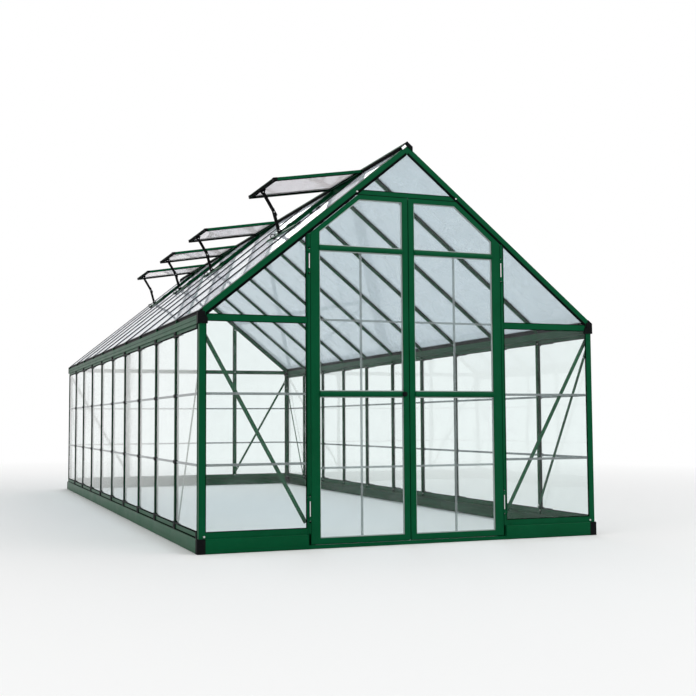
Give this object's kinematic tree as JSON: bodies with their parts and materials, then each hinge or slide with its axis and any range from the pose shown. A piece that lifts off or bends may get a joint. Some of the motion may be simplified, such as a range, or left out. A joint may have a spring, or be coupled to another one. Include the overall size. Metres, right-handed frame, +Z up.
{
  "type": "greenhouse",
  "caption": "Long glazed greenhouse with a pitched roof, green metal frame, double front doors with chamfered corners and propped roof vents.",
  "frame": {"origin": "middle of the ground footprint, at the bottom of the base", "axes": "+X to the right of someone facing the doors, +Y from the front gable to the rear one, +Z up"},
  "size_m": [2.44, 6.121, 2.2952],
  "materials": {
    "base": "satin green powder coat",
    "base_corner": "moulded black",
    "frame": "satin green powder coat",
    "eave": "satin green powder coat",
    "eave_corner": "moulded black",
    "seam": "satin green powder coat",
    "clear_panel": "clear panel",
    "sill": "satin green powder coat",
    "ridge": "satin green powder coat",
    "ridge_cap": "moulded black",
    "brace": "satin green powder coat",
    "vent": "satin green powder coat",
    "stay": "moulded black",
    "hinge_pin": "bright pin",
    "door": "satin green powder coat",
    "knob": "moulded black"
  },
  "bodies": {
    "house": {"base_left": "base", "base_right": "base", "base_front": "base", "base_rear": "base", "base_corners": "base_corner", "corner_posts": "frame", "studs_left": "frame", "studs_right": "frame", "eave_left": "eave", "eave_right": "eave", "eave_corners": "eave_corner", "wall_seams_left": "seam", "wall_seams_right": "seam", "panel_rails": "frame", "wall_glazing_left": "clear_panel", "wall_glazing_right": "clear_panel", "front_rafters": "frame", "rear_rafters": "frame", "front_posts": "frame", "hinge_pins": "hinge_pin", "rear_posts": "frame", "front_bars": "frame", "rear_bars": "frame", "gable_seams": "seam", "door_sill": "sill", "front_glazing": "clear_panel", "rear_glazing": "clear_panel", "ridge_beam": "ridge", "ridge_caps": "ridge_cap", "rafters_left": "frame", "rafters_right": "frame", "roof_glazing_left": "clear_panel", "roof_glazing_right": "clear_panel", "braces": "brace", "vent_frames": "vent", "vent_panes": "clear_panel", "vent_sills": "frame", "vent_stays": "stay"},
    "left_door": {"left_door_stiles": "door", "left_door_rails": "door", "left_door_glazing": "clear_panel", "left_door_knob": "knob"},
    "right_door": {"right_door_stiles": "door", "right_door_rails": "door", "right_door_glazing": "clear_panel"}
  },
  "joints": [
    {"name": "left_door_hinge", "type": "hinge", "parent": "house", "child": "left_door", "pos_m": [-0.597, -3.0355, 1], "axis": [0, 0, -1], "range_deg": [0, 110]},
    {"name": "right_door_hinge", "type": "hinge", "parent": "house", "child": "right_door", "pos_m": [0.597, -3.0355, 1], "axis": [0, 0, 1], "range_deg": [0, 110]}
  ]
}
